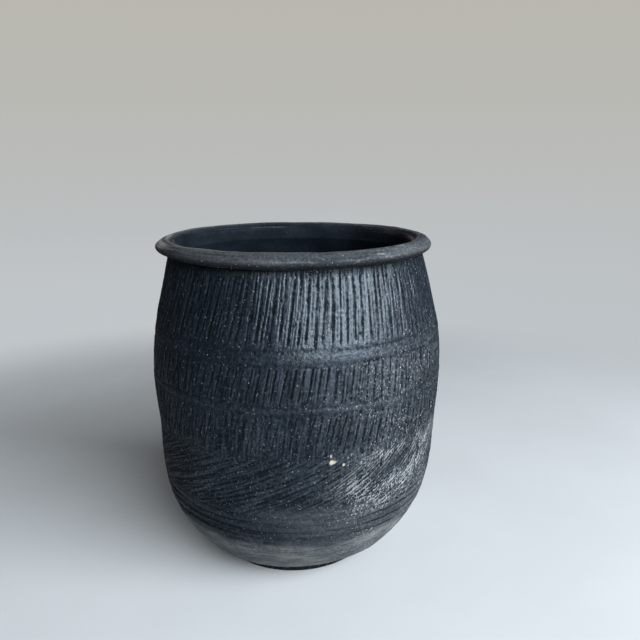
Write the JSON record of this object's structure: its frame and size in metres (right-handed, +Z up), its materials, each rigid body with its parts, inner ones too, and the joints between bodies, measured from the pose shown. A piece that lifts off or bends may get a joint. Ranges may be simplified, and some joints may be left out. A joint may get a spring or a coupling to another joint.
{
  "type": "black clay pot",
  "caption": "Large round-bellied black clay pot with a flat foot, bands of incised strokes around the wall and a fat rolled lip around a wide open mouth.",
  "frame": {"origin": "centre of the underside of the foot, on the ground", "axes": "+Z up along the pot's axis and out of its mouth; -Y is the front"},
  "size_m": [0.3112, 0.3112, 0.35],
  "materials": {
    "foot_clay": "matt, sooty black, worn at the edge",
    "scraped_clay": "scraped grey-brown clay with fine horizontal drag marks",
    "black_clay": "bluish-black smoked clay with a soft graphite sheen and incised strokes",
    "rim_clay": "smoothed dark grey clay, worn lighter along the lip"
  },
  "bodies": {
    "root": {"foot_slab": "foot_clay", "base_bowl": "scraped_clay", "grooved_coil": "black_clay", "diagonal_coil": "black_clay", "lower_stroke_coil": "black_clay", "middle_stroke_coil": "black_clay", "shoulder_coil": "black_clay", "neck_coil": "black_clay", "rim_coil": "rim_clay"}
  },
  "joints": []
}
